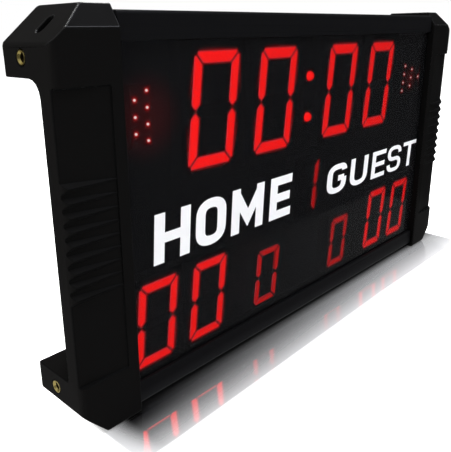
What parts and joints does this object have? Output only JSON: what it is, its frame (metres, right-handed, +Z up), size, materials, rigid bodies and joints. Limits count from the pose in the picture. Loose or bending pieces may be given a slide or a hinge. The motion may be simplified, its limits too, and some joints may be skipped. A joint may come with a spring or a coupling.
{
  "type": "electronic scoreboard",
  "caption": "Electronic scoreboard: a smoked panel over seven-segment digits, held in slotted rails between moulded end caps with hand grips, and a rocker switch at the back.",
  "frame": {"origin": "on the floor under the middle of the scoreboard, at mid width and mid depth", "axes": "+X to the viewer's right along the width, +Y from the front panel to the back, +Z up"},
  "size_m": [0.484, 0.049, 0.253],
  "materials": {
    "moulded_cap": "black moulded plastic, fine texture",
    "brass_insert": "turned",
    "rail": "black anodised extrusion",
    "smoked_panel": "smoked acrylic, polished",
    "digit_case": "black moulded",
    "segment_lens": "clear red lens, lit",
    "lamp_lens": "clear red domes, lit",
    "circuit_board": "green solder mask",
    "black_board": "black solder mask",
    "back_cover": "black powder coat",
    "moulded_trim": "black moulded",
    "ribbon": "grey flat cable",
    "lead": "black insulation",
    "nut": "nickel plated"
  },
  "bodies": {
    "housing": {"end_cap_left": "moulded_cap", "end_cap_right": "moulded_cap", "insert_left_upper": "brass_insert", "insert_left_lower": "brass_insert", "insert_right_upper": "brass_insert", "insert_right_lower": "brass_insert", "rail_top": "rail", "rail_foot": "rail", "front_panel": "smoked_panel", "display_board": "black_board", "clock_minute_tens_case": "digit_case", "clock_minute_tens_segments": "segment_lens", "clock_minute_ones_case": "digit_case", "clock_minute_ones_segments": "segment_lens", "clock_second_tens_case": "digit_case", "clock_second_tens_segments": "segment_lens", "clock_second_ones_case": "digit_case", "clock_second_ones_segments": "segment_lens", "home_score_tens_case": "digit_case", "home_score_tens_segments": "segment_lens", "home_score_ones_case": "digit_case", "home_score_ones_segments": "segment_lens", "guest_score_tens_case": "digit_case", "guest_score_tens_segments": "segment_lens", "guest_score_ones_case": "digit_case", "guest_score_ones_segments": "segment_lens", "home_fouls_case": "digit_case", "home_fouls_segments": "segment_lens", "guest_fouls_case": "digit_case", "guest_fouls_segments": "segment_lens", "period_case": "digit_case", "period_segments": "segment_lens", "colon_lamps": "lamp_lens", "home_arrow_lamps": "lamp_lens", "guest_arrow_lamps": "lamp_lens", "back_cover": "back_cover", "controller_board": "circuit_board", "supply_board": "circuit_board", "ribbon_cable": "ribbon", "lead_inlet": "lead", "lead_switch": "lead", "lead_controller": "lead", "lead_sounder": "lead", "sounder": "moulded_trim", "power_inlet": "moulded_trim", "power_inlet_nut": "nut", "switch_body": "moulded_trim"},
    "rocker": {"power_rocker": "moulded_trim"}
  },
  "joints": [
    {"name": "power_switch", "type": "hinge", "parent": "housing", "child": "rocker", "pos_m": [-0.15004, 0.0176, 0.05996], "axis": [1, 0, 0], "range_deg": [-20, 0]}
  ]
}
